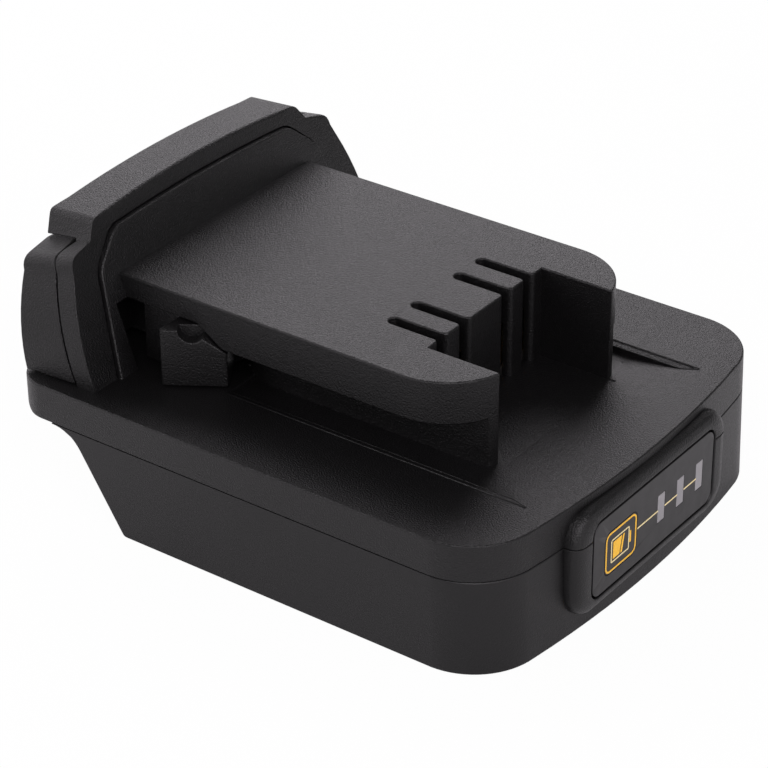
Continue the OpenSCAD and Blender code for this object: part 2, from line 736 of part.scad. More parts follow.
lip_w = 1.6;
wall_half = shoulder_y - lip_w - latch_travel - slide_gap;
module head_cover() color("#2c2b2d") {
    difference() {
        intersection() {
            head_form();
            union() {
                along_y(-body_w, body_w)
                    head_side(rim_x(0) + cut, rim_x(tall) + cut, flange_back_x(0),
                              flange_back_x(tall), tall);
                along_y(-shoulder_y, shoulder_y)
                    head_side(rim_x(0) + cut, rim_x(tall) + cut, back_x(0) - cut,
                              back_x(tall) - cut, tall);
            }
        }
        intersection() {
            along_x(deck_rear - cut, deck_front) bulkhead_outline(fit_gap);
            along_y(-body_w, body_w)
                head_side(rim_x(0) + cut, rim_x(tall) + cut, flange_back_x(0) - cut,
                          flange_back_x(tall) - cut, tall);
        }
        intersection() {
            head_room();
            union() {
                along_y(-body_w, body_w)
                    polygon([[flange_back_x(-cut), deck_h - cut], [flange_back_x(tall), deck_h + tall],
                             [back_inner_x(tall), deck_h + tall], [back_inner_x(-cut), deck_h - cut]]);
                both() along_y(wall_half, body_w)
                    polygon([[flange_back_x(-cut), deck_h - cut], [flange_back_x(tall), deck_h + tall],
                             [back_x(tall) - cut / 2, deck_h + tall],
                             [back_x(-cut) - cut / 2, deck_h - cut]]);
            }
        }
        for (s = [-1, 1])
            translate([0, s * head_screw_y, deck_h + head_screw_h]) rotate([0, -90, 0]) {
                translate([0, 0, -head_screw_seat])
                    cylinder(r = small_head_r + fit_gap, h = cover_t + cut);
                translate([0, 0, -head_screw_seat - cover_t])
                    cylinder(r = small_screw_r + fit_gap, h = 2 * cover_t);
            }
    }
}

// One latch on the right side of the body: button, arm and tongue in one moulding
button_in = shoulder_y + fit_gap;
button_low = 0.4;
button_skin = 2;
slab_in = 0.7;
slab_out = tower_w / 2 - slab_in;
slab_x = bulkhead_x(0) - cut;
latch_low = deck_h + slide_gap;
latch_high = thin_h - slide_gap;
stem_front = flange_back_x(arm_high - deck_h) - slide_gap - pin_gap;
stem_back = back_inner_x(0) + slide_gap;
tongue_top = tower_w / 2 + tongue_out;
tip_y = tongue_top - tongue_fall;
root_back = 3.6;
root_out = 0.2;
heel_soft = 1.3;
tip_soft = 0.5;
module latch_plan() {
    heel = [tip_x - tongue_l, tongue_top];
    tip = [tip_x, tip_y];
    root = [tip_x - root_back, neck_w / 2 + root_out];
    polygon(concat(soft([heel[0], slab_out], heel, tip, heel_soft), soft(heel, tip, root, tip_soft),
                   [root, [root[0], arm_in], [slab_x, arm_in], [slab_x, slab_out],
                    [heel[0], slab_out]]));
}
// The part of a head outline that belongs to the button, with a lip that reaches under the roof
lip_t = 2;
lip_in = shoulder_y - lip_w;
function button_points(points, wing_h) =
    concat([[button_in, 0]],
           [for (p = points) if (p[0] >= shoulder_y) [max(p[0], button_in), p[1]]],
           [[lip_in, wing_h], [lip_in, wing_h - lip_t], [button_in, wing_h - lip_t]]);
// The button carries the head's form on from behind the wing flange to the rear face
module button_form() {
    rim = on_rim(button_points(front_points, shoulder_h));
    back = on_back(button_points(rear_points, shoulder_h - wing_drop));
    front = [for (i = [0 : len(rim) - 1])
        let (h = back[i][2] - deck_h, t = (flange_t + slide_gap) / (rim_x(h) - back_x(h)))
        (1 - t) * rim[i] + t * back[i]];
    loft(front, back);
}
// The button is hollow inside, and its shield closes the opening beside the cover's rear wall
button_hollow = button_skin / 2 + slide_gap;
hollow_d = 3;
hollow_low = arm_high - deck_h;
hollow_high = shoulder_h - wing_drop - 2 * button_skin;
shield_in = 1;
shield_low = arm_low - deck_h;
shield_high = shoulder_h - wing_drop - cut;
tip_drop = 1.2;
module latch_right() color("#2a292b") {
    difference() {
        button_form();
        box([-overall_l, 0, 0], [deck_front, body_w, deck_h + button_low]);
        along_y(0, button_in + hollow_d)
            polygon([[flange_back_x(hollow_low) - button_hollow, deck_h + hollow_low],
                     [flange_back_x(hollow_high) - button_hollow, deck_h + hollow_high],
                     [back_inner_x(hollow_high) + button_hollow, deck_h + hollow_high],
                     [back_inner_x(hollow_low) + button_hollow, deck_h + hollow_low]]);
    }
    along_y(wall_half - shield_in, button_in + cut)
        polygon([[back_inner_x(shield_low) + slide_gap + button_skin, deck_h + shield_low],
                 [back_inner_x(shield_high) + slide_gap + button_skin, deck_h + shield_high],
                 [back_inner_x(shield_high) + slide_gap, deck_h + shield_high],
                 [back_inner_x(shield_low) + slide_gap, deck_h + shield_low]]);
    box([stem_back, arm_in, arm_low], [stem_front, button_in + cut, arm_high]);
    box([stem_back, arm_in, arm_low], [slab_x + cut, arm_in + arm_t, arm_high]);
    difference() {
        translate([0, 0, latch_low]) linear_extrude(latch_high - latch_low) latch_plan();
        along_y(0, body_w)
            polygon([[tip_x + cut, latch_high + cut], [tip_x + cut, rail_h - tip_drop],
                     [tip_x, rail_h - tip_drop], [tip_x - chamfer_l - slide_gap, latch_high],
                     [tip_x - chamfer_l - slide_gap, latch_high + cut]]);
        translate([tip_x - tongue_l / 2, tongue_top - tongue_fall / 2, latch_high])
            rotate([0, 0, -atan(tongue_fall / tongue_l)]) rotate([90, 0, 0])
                cylinder(r = notch_r, h = 2 * notch_r, center = true);
    }
}
module latch_left() {
    mirror([0, 1, 0]) latch_right();
}

// A tube swept along points that never run along the direction given by normal
function unit(v) = v / norm(v);
function heading(path, i) =
    unit(path[min(i + 1, len(path) - 1)] - path[max(i - 1, 0)]);
module tube(path, r, sides, normal) {
    n = len(path);
    points = [for (i = [0 : n - 1])
        let (d = heading(path, i), u = unit(cross(d, normal)), v = cross(d, u))
        for (k = [0 : sides - 1])
            path[i] + r * (cos(360 * k / sides) * u + sin(360 * k / sides) * v)];
    walls = [for (i = [0 : n - 2], k = [0 : sides - 1]) let (m = (k + 1) % sides)
        each [[i * sides + k, i * sides + m, (i + 1) * sides + m],
              [i * sides + k, (i + 1) * sides + m, (i + 1) * sides + k]]];
    ends = [for (k = [1 : sides - 2])
        each [[0, k + 1, k], [(n - 1) * sides, (n - 1) * sides + k, (n - 1) * sides + k + 1]]];
    polyhedron(points, concat(walls, ends), convexity = 6);
}
// A latch spring on the right, pressed between the rib and the latch arm
spring_steps = 12;
spring_sides = 6;
spring_l = arm_in - rib_t / 2 - 2 * pin_gap - spring_wire;
module latch_spring_right() color("silver") {
    steps = spring_steps * spring_turns;
    path = [for (i = [0 : steps]) let (a = 360 / spring_steps * i)
        [spring_x + spring_r * cos(a), rib_t / 2 + pin_gap + spring_wire / 2 + spring_l * i / steps,
         deck_h + spring_h + spring_r * sin(a)]];
    tube(path, spring_wire / 2, spring_sides, [0, 1, 0]);
}
module latch_spring_left() {
    mirror([0, 1, 0]) latch_spring_right();
}

module clip_carrier() color("#3a3836") {
    difference() {
        box([comb_rear + 2 * fit_gap, -pocket_half + fit_gap, carrier_top - carrier_t],
            [comb_x - comb_wall - fit_gap, pocket_half - fit_gap, carrier_top]);
        for (y = [-slot_out, -slot_in, slot_in, slot_out])
            box([clip_x + clip_l / 2 - tail_l / 2 - pin_gap, y - tail_t / 2 - pin_gap, 0],
                [clip_x + clip_l / 2 + tail_l / 2 + pin_gap, y + tail_t / 2 + pin_gap, tower_top]);
        translate([carrier_boss_x, 0, 0])
            cylinder(r = small_screw_r + fit_gap, h = tower_top);
    }
}
// A spring clip that grips a tool blade between two leaves: shares of its height where they bend
// and pinch, and of the slot's width that they leave at the pinch and at the mouth
clip_bend = 0.4;
clip_pinch = 0.75;
pinch_w = 0.35;
clip_mouth_w = 0.75;
module tool_clip(y) color("#c8963c") {
    translate([clip_x, y, carrier_top]) along_x(0, clip_l) {
        translate([-clip_half, 0]) square([2 * clip_half, clip_t]);
        for (s = [0, 1]) mirror([s, 0])
            polygon([[clip_half - clip_t, 0], [clip_half - clip_t, clip_h * clip_bend],
                     [slot_w * pinch_w, clip_h * clip_pinch], [slot_w * clip_mouth_w, clip_h],
                     [slot_w * clip_mouth_w + clip_t, clip_h],
                     [slot_w * pinch_w + clip_t, clip_h * clip_pinch],
                     [clip_half, clip_h * clip_bend], [clip_half, 0]]);
    }
    box([clip_x + clip_l / 2 - tail_l / 2, y - tail_t / 2, tail_low],
        [clip_x + clip_l / 2 + tail_l / 2, y + tail_t / 2, carrier_top + clip_t / 2]);
}
module tool_clip_positive() tool_clip(slot_out);
module tool_clip_negative() tool_clip(-slot_out);
module tool_clip_sense() tool_clip(slot_in);
module tool_clip_temp() tool_clip(-slot_in);
module carrier_screw() color("silver")
    translate([carrier_boss_x, 0, carrier_top - carrier_t])
        screw(small_screw_r, small_head_r, small_head_h, carrier_t + clip_h - carrier_screw_end);

// Terminal blades: a blade towards the pack and a solder tail up through the divider
tail_set = 2;
tail_x = receiver_x + tail_set;
blade_rise = 2;
blade_low = pack_rail_t + blade_rise;
block_top = guide_top - fit_gap;
tail_rise = 2;
tail_top = seam_h + tail_rise;
blade_root = 1;
module blade_form(y, t, grow = 0) {
    box([receiver_x - blade_l - grow, y - t / 2 - grow, blade_low - grow],
        [receiver_x + block_l - blade_root + grow, y + t / 2 + grow, blade_low + blade_h + grow]);
    box([tail_x - grow, y - t / 2 - grow, blade_low],
        [tail_x + tail_l + grow, y + t / 2 + grow, tail_top]);
}
signal_t = 0.8;
module all_blades(grow) {
    for (s = [-1, 1]) {
        blade_form(s * blade_out, blade_t, grow);
        blade_form(s * blade_in, signal_t, grow);
    }
}
module blade_block() color("#33312f") difference() {
    box([receiver_x + fit_gap, -block_half, pack_rail_t],
        [receiver_x + block_l, block_half, block_top]);
    all_blades(pin_gap);
}
module blade_positive() color("#c8963c") blade_form(blade_out, blade_t);
module blade_negative() color("#c8963c") blade_form(-blade_out, blade_t);
module blade_sense() color("#c8963c") blade_form(blade_in, signal_t);
module blade_temp() color("#c8963c") blade_form(-blade_in, signal_t);

// Divider plate with slots for the blade tails and the catch window of the pack's latch
catch_l = 6;
catch_half = 8;
divider_x = slope_top_x + rear_wall + cut;
module divider_plate() color("#4a4540") difference() {
    box([divider_x, -receiver_half - guide_t, guide_top],
        [bay_x + guide_t, receiver_half + guide_t, guide_top + divider_t]);
    all_blades(2 * fit_gap);
    for (p = stake_places)
        translate([p[0], p[1], 0]) cylinder(r = stake_r + pin_gap, h = deck_h);
    box([slope_foot_x, -catch_half, 0], [slope_foot_x + catch_l, catch_half, deck_h]);
}

// Wires between the blades and the clips, and the leads to the gauge board
wire_rise = 1;
wire_h = seam_h + wire_rise;
clip_tail_x = clip_x + clip_l / 2 + tail_l / 2;
lead_sag = 1.2;
function part_way(a, b, t) = a + (b - a) * t;
// Shares of the way along the body and across it, and of the sag, at each bend
wire_bends = [[0, 0, 0], [0.4, 0, 0], [0.6, 0, 0], [0.75, 0.5, 0], [0.9, 1, 0], [1, 1, 0]];
lead_bends = [[0, 0, 0], [0.2, 0, 0], [0.45, 0, 0], [0.61, 0.5, 0.35], [0.78, 1, 0.85], [1, 1, 1]];
function route(bends, from, to) =
    [for (b = bends) [part_way(from[0], to[0], b[0]), part_way(from[1], to[1], b[1]),
                      wire_h - lead_sag * b[2]]];
module wire(from_y, to_y, r)
    tube(route(wire_bends, [tail_x - pin_gap, from_y], [clip_tail_x + pin_gap, to_y]), r,
         wire_sides, [0, 0, 1]);
module lead(from_y, to_y, r)
    tube(route(lead_bends, [tail_x + tail_l + pin_gap, from_y],
               [board_front - board_t - pin_gap, to_y]), r, wire_sides, [0, 0, 1]);
wire_sides = 8;
power_wire_r = 0.9;
signal_wire_r = 0.6;
lead_r = 0.5;
lead_in = 6.8;
lead_y = board_half - lead_in;
module wire_positive() color("#b3261e") wire(blade_out, slot_out, power_wire_r);
module wire_negative() color("#1b1b1b") wire(-blade_out, -slot_out, power_wire_r);
module wire_sense() color("#d8d8d2") wire(blade_in, slot_in, signal_wire_r);
module wire_temp() color("#3c6ea8") wire(-blade_in, -slot_in, signal_wire_r);
module gauge_lead_positive() color("#b3261e") lead(blade_out, lead_y, lead_r);
module gauge_lead_negative() color("#1b1b1b") lead(-blade_out, -lead_y, lead_r);

// Gauge
board_low = pack_rail_t;
board_drop = 1.6;
board_high = ceiling_h - board_drop;
module gauge_board() color("#20503a")
    box([board_front - board_t, gauge_y - board_half, board_low],
        [board_front, gauge_y + board_half, board_high]);
bar_places = [for (i = [0 : 2]) gauge_y + bar_y + i * bar_pitch];
module gauge_leds() color("#f2efe4")
    for (y = bar_places)
        box([board_front, y - led_w / 2, panel_z - led_h / 2],
            [board_front + led_t, y + led_w / 2, panel_z + led_h / 2]);
chip_w = 5;
chip_t = 1.4;
module gauge_chip() color("#161616")
    box([board_front - board_t - chip_t, gauge_y - chip_w / 2, panel_z - chip_w / 2],
        [board_front - board_t, gauge_y + chip_w / 2, panel_z + chip_w / 2]);
switch_w = 6;
switch_t = 3.2;
key_depth = 2;
key_back = panel_x - panel_t - key_depth;
plunger_r = 1.7;
plunger_in = 1;
key_drop = 0.4;
key_z = panel_z - key_drop;
key_place = gauge_y - key_y;
module tact_switch() color("#1f1f20") difference() {
    box([board_front, key_place - switch_w / 2, key_z - switch_w / 2],
        [board_front + switch_t, key_place + switch_w / 2, key_z + switch_w / 2]);
    translate([board_front + switch_t - plunger_in - key_travel - slide_gap, key_place, key_z])
        rotate([0, 90, 0]) cylinder(r = plunger_r + 2 * pin_gap, h = switch_t);
}
module switch_plunger() color("#e6e2d6")
    translate([board_front + switch_t - plunger_in, key_place, key_z]) rotate([0, 90, 0])
        cylinder(r = plunger_r, h = key_back - board_front - switch_t + plunger_in);
key_r = 1.3;
key_flange = 0.8;
flange_gap = 0.3;
module gauge_button() color("#1d1d1f") translate([0, key_place, key_z]) {
    along_x(key_back, panel_x) round_rect(key_w, key_h, key_r);
    along_x(key_back, panel_x - panel_t - flange_gap)
        round_rect(key_w + 2 * key_flange, key_h + 2 * key_flange, key_r);
}
module gauge_panel() color("#1a1a1c") difference() {
    translate([0, gauge_y, panel_z]) along_x(panel_x - panel_t, panel_x)
        round_rect(panel_w, panel_h, panel_r);
    translate([0, key_place, key_z]) along_x(panel_x - 2 * panel_t, overall_l)
        round_rect(key_w + fit_gap, key_h + fit_gap, key_r + fit_gap / 2);
    for (y = bar_places)
        box([panel_x - 2 * panel_t, y - bar_w / 2 - pin_gap, panel_z - bar_h / 2 - pin_gap],
            [overall_l, y + bar_w / 2 + pin_gap, panel_z + bar_h / 2 + pin_gap]);
}
web_t = 1;
module light_guide() color("#a9abb0") {
    for (y = bar_places)
        box([board_front + led_t + fit_gap, y - bar_w / 2, panel_z - bar_h / 2],
            [panel_x, y + bar_w / 2, panel_z + bar_h / 2]);
    box([panel_x - panel_t - web_t - fit_gap, bar_places[0] - bar_w / 2, panel_z - bar_h / 2],
        [panel_x - panel_t - fit_gap, bar_places[2] + bar_w / 2, panel_z + bar_h / 2]);
}

module case_screws() color("silver")
    for (p = screw_places)
        translate([p[0], p[1], case_recess])
            screw(case_screw_r, case_head_r, case_head_h, seam_h - case_recess + screw_bite);
module head_screws() color("silver")
    for (s = [-1, 1])
        translate([head_screw_seat, s * head_screw_y, deck_h + head_screw_h]) rotate([0, 90, 0])
            screw(small_screw_r, small_head_r, small_head_h, head_screw_l);

upper_shell();
lower_shell();
head_cover();
latch_left();
latch_right();
latch_spring_left();
latch_spring_right();
clip_carrier();
tool_clip_positive();
tool_clip_negative();
tool_clip_sense();
tool_clip_temp();
carrier_screw();
divider_plate();
blade_block();
blade_positive();
blade_negative();
blade_sense();
blade_temp();
wire_positive();
wire_negative();
wire_sense();
wire_temp();
gauge_lead_positive();
gauge_lead_negative();
gauge_board();
gauge_leds();
gauge_chip();
tact_switch();
switch_plunger();
gauge_panel();
light_guide();
gauge_button();
case_screws();
head_screws();
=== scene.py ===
"""Looks of a slide-on battery adapter: moulded shells, side latches and a charge gauge."""

import json
import math

import bmesh
import bpy
from mathutils import Matrix, Vector
from mathutils.bvhtree import BVHTree
from mathutils.geometry import delaunay_2d_cdt, intersect_point_line


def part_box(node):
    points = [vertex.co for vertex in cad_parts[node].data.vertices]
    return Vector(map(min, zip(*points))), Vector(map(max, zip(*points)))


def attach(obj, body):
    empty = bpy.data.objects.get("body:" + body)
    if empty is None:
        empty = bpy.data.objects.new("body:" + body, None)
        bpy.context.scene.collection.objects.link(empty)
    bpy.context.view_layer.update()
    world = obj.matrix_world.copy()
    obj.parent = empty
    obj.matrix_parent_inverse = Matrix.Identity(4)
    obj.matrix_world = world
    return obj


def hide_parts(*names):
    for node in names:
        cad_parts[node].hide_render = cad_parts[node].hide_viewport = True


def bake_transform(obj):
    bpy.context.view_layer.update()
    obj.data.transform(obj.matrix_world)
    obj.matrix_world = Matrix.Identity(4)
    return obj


MM = 0.001
WHITE = (1, 1, 1, 1)

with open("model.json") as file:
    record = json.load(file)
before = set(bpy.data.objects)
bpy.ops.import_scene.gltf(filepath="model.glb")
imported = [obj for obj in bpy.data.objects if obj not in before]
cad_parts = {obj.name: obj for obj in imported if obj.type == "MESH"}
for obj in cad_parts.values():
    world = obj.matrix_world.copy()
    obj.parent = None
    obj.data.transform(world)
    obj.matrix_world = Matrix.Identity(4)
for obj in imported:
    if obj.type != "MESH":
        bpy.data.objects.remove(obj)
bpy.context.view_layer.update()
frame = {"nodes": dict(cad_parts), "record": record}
scene = bpy.context.scene
scene.view_settings.view_transform = "Standard"


# Camera: where it looks, from which side, and how long its lens is
CAMERA_TARGET = Vector((3.25, -7.91, 22.1)) * MM
CAMERA_AZIMUTH = 36.44
CAMERA_ELEVATION = 30.64
CAMERA_ROLL = -0.46
CAMERA_DISTANCE = 437.1 * MM
CAMERA_LENS = 133.19
SENSOR_WIDTH = 36
NEAREST = 0.01
FARTHEST = 20


def add_camera():
    azimuth, elevation = math.radians(CAMERA_AZIMUTH), math.radians(CAMERA_ELEVATION)
    back = Vector((
        math.sin(azimuth) * math.cos(elevation),
        -math.cos(azimuth) * math.cos(elevation),
        math.sin(elevation),
    ))
    data = bpy.data.cameras.new("camera")
    data.lens = CAMERA_LENS
    data.sensor_width = SENSOR_WIDTH
    data.clip_start = NEAREST
    data.clip_end = FARTHEST
    camera = bpy.data.objects.new("camera", data)
    scene.collection.objects.link(camera)
    turn = (-back).to_track_quat("-Z", "Y").to_matrix().to_4x4()
    roll = Matrix.Rotation(math.radians(CAMERA_ROLL), 4, "Z")
    camera.matrix_world = Matrix.Translation(CAMERA_TARGET + back * CAMERA_DISTANCE) @ turn @ roll
    scene.camera = camera


# Materials
NOISE_LOW = 0.3  # most of a noise's values lie between these two
NOISE_HIGH = 0.7
SATIN_SPECULAR = 0.35


def shade(colour, factor):
    return tuple(c * factor for c in colour)


class Nodes:
    """Short names for building a material's node tree."""

    def __init__(self, name):
        self.material = bpy.data.materials.new(name)
        self.material.use_nodes = True
        self.tree = self.material.node_tree
        self.tree.nodes.clear()
        self.output = self.tree.nodes.new("ShaderNodeOutputMaterial")
        self.place = self.tree.nodes.new("ShaderNodeTexCoord").outputs["Object"]

    def link(self, source, target):
        self.tree.links.new(source, target)

    def principled(self, roughness, metallic=0.0, specular=0.5):
        shader = self.tree.nodes.new("ShaderNodeBsdfPrincipled")
        shader.inputs["Roughness"].default_value = roughness
        shader.inputs["Metallic"].default_value = metallic
        shader.inputs["Specular IOR Level"].default_value = specular
        self.link(shader.outputs["BSDF"], self.output.inputs["Surface"])
        return shader

    def noise(self, size_mm, detail=2.0, stretch=(1, 1, 1)):
        """Noise whose blobs are about size_mm across, stretched along the axes."""
        mapping = self.tree.nodes.new("ShaderNodeMapping")
        mapping.inputs["Scale"].default_value = [1 / s for s in stretch]
        self.link(self.place, mapping.inputs["Vector"])
        noise = self.tree.nodes.new("ShaderNodeTexNoise")
        noise.inputs["Scale"].default_value = 1 / (size_mm * MM)
        noise.inputs["Detail"].default_value = detail
        self.link(mapping.outputs["Vector"], noise.inputs["Vector"])
        return noise.outputs["Fac"]

    def spread(self, noise, low, high):
        """The noise's usual range, mapped onto low to high."""
        mapped = self.tree.nodes.new("ShaderNodeMapRange")
        mapped.inputs["From Min"].default_value = NOISE_LOW
        mapped.inputs["From Max"].default_value = NOISE_HIGH
        mapped.inputs["To Min"].default_value = low
        mapped.inputs["To Max"].default_value = high
        self.link(noise, mapped.inputs["Value"])
        return mapped.outputs["Result"]

    def mottle(self, colour, dark, light, size_mm, detail=2.0):
        """The colour times dark to times light, in blobs about size_mm across."""
        mix = self.tree.nodes.new("ShaderNodeMix")
        mix.data_type = "RGBA"
        mix.inputs["A"].default_value = (*shade(colour, dark), 1)
        mix.inputs["B"].default_value = (*shade(colour, light), 1)
        blobs = self.spread(self.noise(size_mm, detail), low=0.0, high=1.0)
        self.link(blobs, mix.inputs["Factor"])
        return mix.outputs["Result"]

    def bump(self, height, depth_mm, strength):
        bump = self.tree.nodes.new("ShaderNodeBump")
        bump.inputs["Strength"].default_value = strength
        bump.inputs["Distance"].default_value = depth_mm * MM
        self.link(height, bump.inputs["Height"])
        return bump.outputs["Normal"]


def moulded_plastic(name, colour, roughness, grain_mm, grain_depth_mm, grain_strength):
    """Moulded plastic: spark-eroded grain in height and gloss, and slight clouds in its colour."""
    n = Nodes(name)
    shader = n.principled(roughness, specular=SATIN_SPECULAR)
    grain = n.noise(grain_mm, detail=2.5)
    n.link(n.mottle(colour, dark=0.9, light=1.1, size_mm=9.0, detail=3.0), shader.inputs["Base Color"])
    n.link(n.spread(grain, low=roughness - 0.07, high=roughness + 0.07), shader.inputs["Roughness"])
    n.link(n.bump(grain, grain_depth_mm, grain_strength), shader.inputs["Normal"])
    return n.material


def satin_film(name, colour, roughness):
    """Smooth printed film: nearly even, with a faint orange-peel."""
    n = Nodes(name)
    shader = n.principled(roughness, specular=SATIN_SPECULAR)
    gloss = n.noise(size_mm=2.0, detail=3.0)
    n.link(n.mottle(colour, dark=0.94, light=1.06, size_mm=4.0), shader.inputs["Base Color"])
    n.link(n.spread(gloss, low=roughness - 0.04, high=roughness + 0.04), shader.inputs["Roughness"])
    n.link(n.bump(n.noise(size_mm=0.7), depth_mm=0.01, strength=0.2), shader.inputs["Normal"])
    return n.material


def printed_ink(name, colour):
    """Screen-printed ink with a little mottle."""
    n = Nodes(name)
    shader = n.principled(roughness=0.5)
    n.link(n.mottle(colour, dark=0.88, light=1.0, size_mm=0.4, detail=3.0), shader.inputs["Base Color"])
    n.link(n.bump(n.noise(size_mm=0.25), depth_mm=0.01, strength=0.3), shader.inputs["Normal"])
    return n.material


def worked_metal(name, colour, roughness, stretch):
    """Metal with fine lines drawn along one axis."""
    n = Nodes(name)
    shader = n.principled(roughness, metallic=1.0)
    lines = n.noise(size_mm=0.12, detail=3.0, stretch=stretch)
    n.link(n.mottle(colour, dark=0.86, light=1.0, size_mm=2.5, detail=3.0), shader.inputs["Base Color"])
    n.link(n.spread(lines, low=roughness - 0.08, high=roughness + 0.1), shader.inputs["Roughness"])
    n.link(n.bump(lines, depth_mm=0.008, strength=0.35), shader.inputs["Normal"])
    return n.material


def glossy_plastic(name, colour, roughness):
    """Plain insulation or housing plastic with a soft mottle."""
    n = Nodes(name)
    shader = n.principled(roughness)
    n.link(n.mottle(colour, dark=0.85, light=1.0, size_mm=1.5, detail=3.0), shader.inputs["Base Color"])
    n.link(n.bump(n.noise(size_mm=0.4), depth_mm=0.01, strength=0.25), shader.inputs["Normal"])
    return n.material


CHARCOAL = (0.0032, 0.003, 0.0032)

# Colour, roughness, and the grain's size in mm, depth in mm and strength
MOULDED = {
    "shell_plastic": (CHARCOAL, 0.38, 0.26, 0.15, 1.0),
    "skirt_plastic": (CHARCOAL, 0.40, 0.26, 0.07, 0.8),
    "latch_plastic": (CHARCOAL, 0.39, 0.28, 0.17, 1.0),
    "carrier_plastic": ((0.03, 0.028, 0.026), 0.55, 0.4, 0.02, 0.25),
}

# Colour and roughness
FILMS = {
    "panel_plastic": ((0.014, 0.0135, 0.014), 0.38),
    "guide_plastic": ((0.28, 0.272, 0.282), 0.42),
}

# Colour
INKS = {
    "orange_ink": ((1.0, 0.56, 0.03),),
    "pale_ink": ((0.9, 0.76, 0.4),),
}

# Colour, roughness, and how far the lines are drawn out along X, Y and Z
METALS = {
    "spring_steel": ((0.62, 0.63, 0.65), 0.3, (1, 8, 1)),
    "contact_brass": ((0.76, 0.58, 0.28), 0.3, (8, 1, 1)),
    "screw_steel": ((0.58, 0.59, 0.6), 0.32, (1, 1, 3)),
}

# Colour and roughness
GLOSSY = {
    "wire_red": ((0.45, 0.03, 0.02), 0.35),
    "wire_black": ((0.02, 0.02, 0.02), 0.35),
    "wire_white": ((0.7, 0.7, 0.66), 0.35),
    "wire_blue": ((0.05, 0.15, 0.4), 0.35),
    "circuit_board": ((0.02, 0.13, 0.06), 0.3),
    "led_plastic": ((0.8, 0.78, 0.7), 0.25),
    "chip_plastic": ((0.02, 0.02, 0.022), 0.5),
}

KINDS = (
    (moulded_plastic, MOULDED),
    (satin_film, FILMS),
    (printed_ink, INKS),
    (worked_metal, METALS),
    (glossy_plastic, GLOSSY),
)


def make_materials():
    return {name: make(name, *values) for make, kind in KINDS for name, values in kind.items()}


# Pieces
bodies = frame["record"]["behaviour"]["bodies"]
node_body = {node: body for body, nodes in bodies.items() for node in nodes}
node_slot = {s["node"]: s["material_slot"] for s in frame["record"]["subparts"]}


def set_material(piece, material):
    piece.data.materials.clear()
    piece.data.materials.append(material)


def new_piece(name, mesh, material):
    piece = bpy.data.objects.new(name, mesh)
    scene.collection.objects.link(piece)
    set_material(piece, material)
    return piece


def riding_piece(name, mesh, body, material):
    piece = new_piece(name, mesh, material)
    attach(piece, body)
    return piece


# Rounded edges: how a solid's faces are made ready and which of its edges are rounded
WELD = 0.002 * MM  # vertices that lie closer are one
TILE_WELD = 1e-7  # the same within one face, in metres
FLAT = math.radians(0.4)  # faces that turn by less are one face
SHARP_EDGE = math.radians(30)  # an edge that turns by more is sharp
RUN_TOGETHER = math.radians(18)  # sharp edges with less between them aren't rounded
FLAT_TURN = math.radians(8)  # an edge that turns by less is shaded smooth
FACET = 2.5 * MM  # a face that reaches less far is a facet of a curve, shaded smooth too
CREASE = math.radians(46)  # a rounded piece's shading breaks where it turns by more
LOOKS_UP = 0.7  # a face looks along an axis when its normal's part on it is larger
BEVEL_SEGMENTS = 3
ROOM_SHARE = 0.45  # the most of a face, or of a step, that one rounding takes up

# How a rounding that goes wrong is told, and how it is eased
SPECK = 0.01 * MM * MM  # smaller faces aren't judged
STRAY = 0.5  # the farthest a face may lie from its solid, in widths of the rounding
FOLDED = -0.2  # a face whose normal meets the solid's by less has folded over
NEAR_FAULT = 1.2  # edges closer to a fault than this many widths are eased
LEAST_WEIGHT = 0.2  # a rounding that would become narrower is taken off
EASE_ROUNDS = 8


def reach(face, edge):
    """How far a face reaches from one of its edges."""
    start = edge.verts[0].co
    along = (edge.verts[1].co - start).normalized()
    return max((v.co - start - (v.co - start).dot(along) * along).length for v in face.verts)


def crowded_edges(bm, sharp):
    """Sharp edges that leave a corner in nearly the same direction."""
    crowded = set()
    for corner in bm.verts:
        mine = [e for e in corner.link_edges if e in sharp]
        for i, first in enumerate(mine):
            for second in mine[:i]:
                one = first.other_vert(corner).co - corner.co
                other = second.other_vert(corner).co - corner.co
                if one.angle(other, 0) < RUN_TOGETHER:
                    crowded.update((first, second))
    return crowded


def step_height(edge):
    """Length of the shortest inward edge at either end: the step that the edge runs into."""
    inward = [e for v in edge.verts for e in v.link_edges
              if not e.is_convex and e.calc_face_angle(0) > SHARP_EDGE]
    return min((e.calc_length() for e in inward), default=math.inf)


def rounds_top(edge):
    """Whether the edge lies between a face that looks up and one that looks forward or back."""
    first, second = (f.normal for f in edge.link_faces)
    return max(first.z, second.z) > LOOKS_UP and max(abs(first.x), abs(second.x)) > LOOKS_UP


def weigh_edges(bm, width, plain_share):
    """Share out the bevel's width to the outward edges, and shade the others smooth or sharp.

    An edge round the top gets all of the width and any other gets plain_share of it, or less
    where a face beside it is narrow or it runs into a low step.
    """
    weight = bm.edges.layers.float.new("bevel_weight_edge")
    sharp = {e for e in bm.edges if e.is_convex and e.calc_face_angle(0) > SHARP_EDGE}
    to_round = sharp - crowded_edges(bm, sharp)
    for edge in bm.edges:
        room = min(reach(f, edge) for f in edge.link_faces)
        if edge in to_round:
            whole = 1.0 if rounds_top(edge) else plain_share
            edge[weight] = min(whole, ROOM_SHARE * min(room, step_height(edge)) / width)
        else:
            turn = edge.calc_face_angle(0)
            edge.smooth = turn < SHARP_EDGE and (turn < FLAT_TURN or room < FACET)


